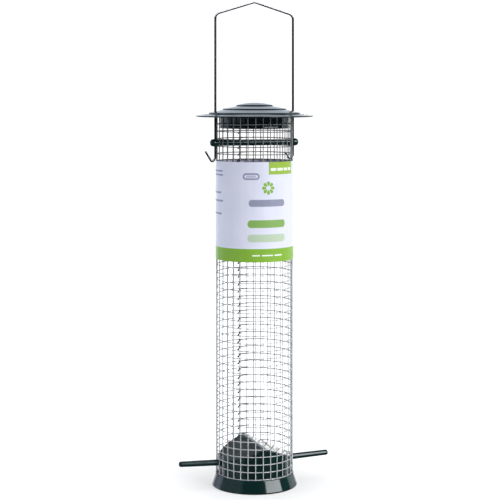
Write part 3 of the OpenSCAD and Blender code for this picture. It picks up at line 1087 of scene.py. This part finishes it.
def floor():
    """Plain pale floor. The lens sees it brighter than white, down to a faint shadow round the foot, partly
    real shade and partly painted into its glow.
    """
    sides, radius, below = 64, 1500, 0.05
    turn = np.arange(sides) * 2 * math.pi / sides
    outline = np.column_stack([radius * np.cos(turn), radius * np.sin(turn), np.full(sides, -below)])
    plane = make("floor", (outline, [list(range(sides))]))
    material = bpy.data.materials.new("pale_floor")
    material.use_nodes = True
    n = Nodes(material.node_tree)
    material.node_tree.nodes.remove(material.node_tree.nodes["Principled BSDF"])
    matt = n.add("BsdfDiffuse")
    matt.inputs["Color"].default_value = (0.86, 0.86, 0.86, 1)
    shaded = n.add("BsdfDiffuse")
    shaded.inputs["Color"].default_value = (0.48, 0.48, 0.48, 1)
    x, y, _ = n.split(n.place)
    glow = n.add("Emission")
    extra = backlight(n, n.total(x, -CAMERA_PLACE.x), n.total(y, -CAMERA_PLACE.y), -CAMERA_PLACE.z)
    # Painted shadow: the floor's glow is weaker near the foot.
    glow_with_painted_shadow = n.ramp(n.length(x, y), 0.030, 0.150, 0.48, 0.80)
    n.put(n.total(glow_with_painted_shadow, extra), glow.inputs["Strength"])
    seen = n.add("AddShader")
    n.put(shaded.outputs[0], seen.inputs[0])
    n.put(glow.outputs[0], seen.inputs[1])
    surface = n.camera_sees(seen.outputs[0], matt.outputs[0])
    n.put(surface, material.node_tree.nodes["Material Output"].inputs["Surface"])
    plane.data.materials.append(material)
    plane.visible_glossy = False


def add_light(n, light, share, tint):
    """The colour light with share times tint added to it."""
    scaled = n.add("VectorMath", operation="SCALE")
    scaled.inputs[0].default_value = tint
    n.put(share, scaled.inputs["Scale"])
    if light is None:
        return scaled.outputs[0]
    summed = n.add("VectorMath", operation="ADD")
    n.put(light, summed.inputs[0])
    n.put(scaled.outputs[0], summed.inputs[1])
    return summed.outputs[0]


def studio():
    """White studio: soft panels placed by their bearing from the camera (right is positive) and height."""
    world = bpy.data.worlds.new("studio")
    bpy.context.scene.world = world
    world.use_nodes = True
    n = Nodes(world.node_tree)
    x, y, z = n.split(n.add("TexCoord").outputs["Generated"])
    away, right = from_camera(n, x, y)
    bearing = n.product(n.math("ARCTAN2", right, n.product(away, -1.0)), 180 / math.pi)
    height = n.product(n.math("ARCSINE", z), 180 / math.pi)
    white, cool, blue, shade = (1.0, 1.0, 1.0), (0.97, 1.00, 1.03), (0.85, 0.98, 1.20), (0.75, 0.95, 1.15)
    panels = [
        # bearing from, to, softness; height from, to, softness; strength; tint
        (33, 79, 1.5, 6, 29, 3, 4.9, cool),
        (33, 52, 1.5, 29, 62, 3, 4.9, cool),
        (110, 140, 3, -25, 55, 6, 0.85, (0.90, 1.00, 1.08)),
        (-150, -104, 1.5, -25, 60, 8, 0.45, blue),
        (-124, -104, 1.5, -25, 60, 8, 0.35, blue),
        (-104, -35, 2, -30, 60, 8, 0.26, shade),
    ]
    light = None
    for low, high, soft, bottom, top, blur, strength, tint in panels:
        share = n.product(n.window(bearing, low, high, soft), n.window(height, bottom, top, blur), strength)
        light = add_light(n, light, share, tint)
    behind = n.ramp(n.math("ABSOLUTE", bearing), 138, 156)
    straight_behind = n.ramp(n.math("ABSOLUTE", bearing), 167, 173, 0.20, 1.05)
    horizon = n.product(behind, n.window(height, -40, 7, 5), 1.6)
    sweep_up = n.product(behind, n.window(height, 7, 70, 5), straight_behind)
    light = add_light(n, light, horizon, white)
    light = add_light(n, light, sweep_up, (0.88, 0.98, 1.10))
    light = add_light(n, light, 0.035, white)
    lit = n.add("Background")
    n.put(light, lit.inputs["Color"])
    backdrop = n.add("Background")
    backdrop.inputs["Color"].default_value = (*white, 1)
    n.put(n.total(backlight(n, x, y, z), BACKDROP), backdrop.inputs["Strength"])
    surface = n.camera_sees(backdrop.outputs[0], lit.outputs[0])
    n.put(surface, world.node_tree.nodes["World Output"].inputs["Surface"])
    world.cycles.sampling_method = "MANUAL"
    world.cycles.sample_map_resolution = 1024


def soft_lamp(name, bearing, distance, height, radius, power):
    """Round lamp at a bearing from the camera, in degrees and metres, too soft to show as a reflection."""
    data = bpy.data.lights.new(name, "AREA")
    data.shape = "DISK"
    data.size = 2 * radius
    data.energy = power
    lamp = new_object(name, data)
    azimuth = CAMERA_AZIMUTH + math.radians(bearing)
    lamp.location = (distance * math.sin(azimuth), -distance * math.cos(azimuth), height)
    aim = Vector((0.0, 0.0, 0.2)) - lamp.location
    lamp.rotation_euler = aim.to_track_quat("-Z", "Y").to_euler()
    lamp.visible_glossy = False
    lamp.visible_camera = False


def lamps():
    """Even light from above, more from the right, and a little from the left for the card's dark side."""
    soft_lamp("lamp_above", 0, 0.0, 2.2, 0.8, 26.0)
    soft_lamp("lamp_left", -75, 1.2, 0.5, 0.3, 2.8)
    soft_lamp("lamp_right", 58, 1.3, 0.6, 0.35, 3.6)


def camera():
    """Level camera with a lens shift that belongs to its own place; from elsewhere the lens isn't shifted."""
    data = bpy.data.cameras.new("camera")
    view = new_object("camera", data)
    view.location = CAMERA_PLACE
    view.rotation_euler = (math.pi / 2, 0, CAMERA_AZIMUTH + CAMERA_YAW)
    data.lens = CAMERA_LENS
    data.sensor_width = 36.0
    place = new_object("camera_place", None)
    place.location = CAMERA_PLACE
    curve = data.driver_add("shift_y")
    curve.driver.type = "SUM"
    gap = curve.driver.variables.new()
    gap.type = "LOC_DIFF"
    gap.targets[0].id = view
    gap.targets[1].id = place
    while curve.modifiers:
        curve.modifiers.remove(curve.modifiers[0])
    for metres_off, shift in ((0.0, CAMERA_SHIFT), (0.02, 0.0)):
        curve.keyframe_points.insert(metres_off, shift).interpolation = "LINEAR"
    curve.extrapolation = "CONSTANT"
    bpy.context.scene.camera = view
    bpy.context.scene.view_settings.view_transform = "Standard"


floor()
studio()
lamps()
camera()
